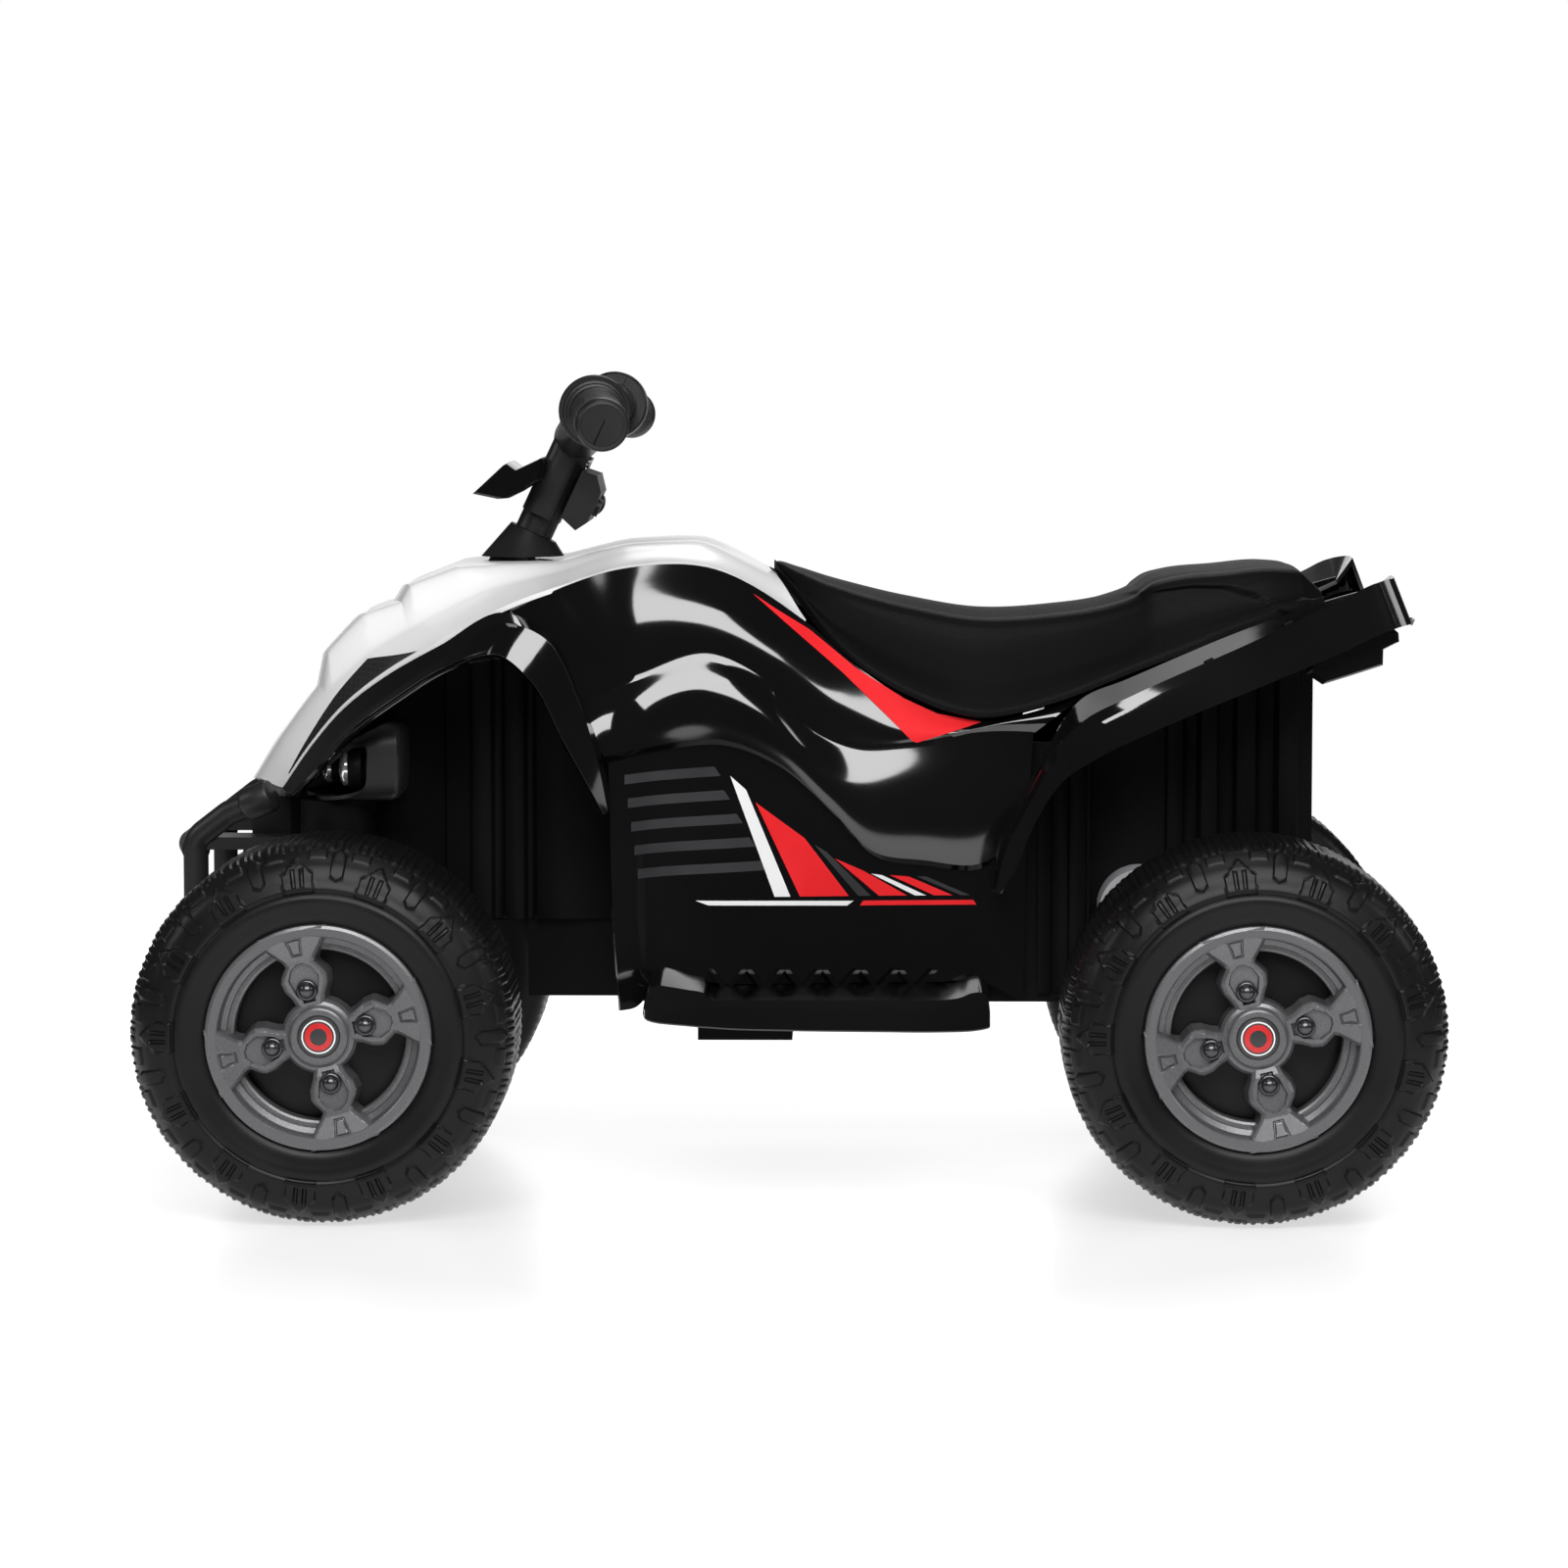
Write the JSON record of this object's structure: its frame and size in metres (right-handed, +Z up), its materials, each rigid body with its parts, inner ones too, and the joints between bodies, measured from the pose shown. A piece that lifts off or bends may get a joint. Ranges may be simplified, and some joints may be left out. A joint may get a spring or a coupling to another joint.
{
  "type": "kids quad bike",
  "caption": "Battery-driven ride-on quad bike for a small child, with a padded seat, handlebar steering through a tie rod, geared rear wheels, footboards and a foot pedal.",
  "frame": {"origin": "on the floor, midway between the axles and on the centre line", "axes": "+X forward, +Y to the rider's left, +Z up"},
  "size_m": [0.813, 0.4812, 0.5223],
  "materials": {
    "gloss_black": "high gloss moulded plastic",
    "gloss_white": "high gloss moulded plastic",
    "matte_black": "fine grained moulded plastic",
    "seat_vinyl": "soft grained vinyl",
    "tyre_plastic": "satin blow-moulded plastic",
    "rim_grey": "metallic grey satin",
    "cap_grey": "metallic grey satin",
    "lamp_clear": "clear lens over a silver bowl",
    "button_red": "gloss",
    "steel": "zinc plated",
    "black_steel": "black coated",
    "case_grey": "satin",
    "nylon": "natural nylon"
  },
  "bodies": {
    "chassis": {"battery": "case_grey", "battery_door": "matte_black", "body_screws": "steel", "body_side_left": "gloss_black", "body_side_right": "gloss_black", "charge_socket": "matte_black", "chassis_tub": "matte_black", "column_boot": "matte_black", "column_bushes": "nylon", "control_box": "matte_black", "drive_motor_left": "steel", "drive_motor_right": "steel", "footboard_left": "gloss_black", "footboard_right": "gloss_black", "front_bumper": "matte_black", "front_cowl": "gloss_white", "front_fender_left": "gloss_black", "front_fender_right": "gloss_black", "gearbox_left": "case_grey", "gearbox_right": "case_grey", "headlamp_housing_left": "matte_black", "headlamp_housing_right": "matte_black", "headlamp_lenses": "lamp_clear", "pedal_switch": "matte_black", "rear_axle": "steel", "rear_axle_nuts": "steel", "rear_fender_left": "gloss_black", "rear_fender_right": "gloss_black", "seat": "seat_vinyl", "tail_panel": "gloss_black"},
    "steering": {"steering_column": "steel", "handlebar_front": "matte_black", "handlebar_rear": "matte_black", "windscreen": "gloss_black", "dash_pod": "gloss_black", "handlebar_screws": "steel"},
    "tie_link": {"tie_rod": "black_steel"},
    "power_key": {"power_button": "button_red"},
    "direction_key": {"direction_rocker": "matte_black"},
    "drive_pedal": {"pedal": "gloss_black"},
    "knuckle_left": {"knuckle_left": "black_steel", "front_nut_left": "steel"},
    "wheel_front_left": {"tyre_front_left": "tyre_plastic", "rim_front_left": "rim_grey", "hub_cap_front_left": "cap_grey"},
    "wheel_rear_left": {"tyre_rear_left": "tyre_plastic", "rim_rear_left": "rim_grey", "hub_cap_rear_left": "cap_grey", "drive_gear_left": "nylon"},
    "pinion_left": {"motor_pinion_left": "nylon"},
    "knuckle_right": {"knuckle_right": "black_steel", "front_nut_right": "steel"},
    "wheel_front_right": {"tyre_front_right": "tyre_plastic", "rim_front_right": "rim_grey", "hub_cap_front_right": "cap_grey"},
    "wheel_rear_right": {"tyre_rear_right": "tyre_plastic", "rim_rear_right": "rim_grey", "hub_cap_rear_right": "cap_grey", "drive_gear_right": "nylon"},
    "pinion_right": {"motor_pinion_right": "nylon"}
  },
  "joints": [
    {"name": "steer", "type": "hinge", "parent": "chassis", "child": "steering", "pos_m": [0.178, 0, 0.4], "axis": [-0.4226, 0, 0.9063], "range_deg": [-22, 22]},
    {"name": "kingpin_left", "type": "hinge", "parent": "chassis", "child": "knuckle_left", "pos_m": [0.2875, 0.1, 0.119], "axis": [0, 0, 1], "range_deg": [-22, 22]},
    {"name": "spin_front_left", "type": "hinge", "parent": "knuckle_left", "child": "wheel_front_left", "pos_m": [0.2875, 0.186, 0.119], "axis": [0, 1, 0], "continuous": true},
    {"name": "spin_rear_left", "type": "hinge", "parent": "chassis", "child": "wheel_rear_left", "pos_m": [-0.2875, 0.186, 0.119], "axis": [0, 1, 0], "continuous": true},
    {"name": "pinion_spin_left", "type": "hinge", "parent": "chassis", "child": "pinion_left", "pos_m": [-0.24507, 0.106, 0.16143], "axis": [0, 1, 0], "continuous": true},
    {"name": "kingpin_right", "type": "hinge", "parent": "chassis", "child": "knuckle_right", "pos_m": [0.2875, -0.1, 0.119], "axis": [0, 0, 1], "range_deg": [-22, 22]},
    {"name": "spin_front_right", "type": "hinge", "parent": "knuckle_right", "child": "wheel_front_right", "pos_m": [0.2875, -0.186, 0.119], "axis": [0, 1, 0], "continuous": true},
    {"name": "spin_rear_right", "type": "hinge", "parent": "chassis", "child": "wheel_rear_right", "pos_m": [-0.2875, -0.186, 0.119], "axis": [0, 1, 0], "continuous": true},
    {"name": "pinion_spin_right", "type": "hinge", "parent": "chassis", "child": "pinion_right", "pos_m": [-0.24507, -0.106, 0.16143], "axis": [0, 1, 0], "continuous": true},
    {"name": "tie_rod_pivot", "type": "hinge", "parent": "knuckle_left", "child": "tie_link", "pos_m": [0.2575, 0.1, 0.106], "axis": [0, 0, 1], "range_deg": [-22, 22]},
    {"name": "power_press", "type": "slide", "parent": "steering", "child": "power_key", "axis": [0.9063, 0, 0.4226], "range_m": [0, 0.002], "stiffness_N_per_m": 300, "springref_m": -0.002},
    {"name": "direction_rock", "type": "hinge", "parent": "steering", "child": "direction_key", "pos_m": [0.12853, -0.016, 0.43675], "axis": [0, 1, 0], "range_deg": [-8, 8]},
    {"name": "pedal_press", "type": "hinge", "parent": "chassis", "child": "drive_pedal", "pos_m": [0.006, -0.16, 0.144], "axis": [0, 1, 0], "range_deg": [0, 10], "stiffness_Nm_per_rad": 0.5, "springref_deg": -11.46}
  ],
  "couplings": [
    {"joint": "kingpin_left", "follows": "steer", "ratio": 1},
    {"joint": "pinion_spin_left", "follows": "spin_rear_left", "ratio": -5},
    {"joint": "kingpin_right", "follows": "steer", "ratio": 1},
    {"joint": "pinion_spin_right", "follows": "spin_rear_right", "ratio": -5},
    {"joint": "tie_rod_pivot", "follows": "steer", "ratio": -1}
  ]
}
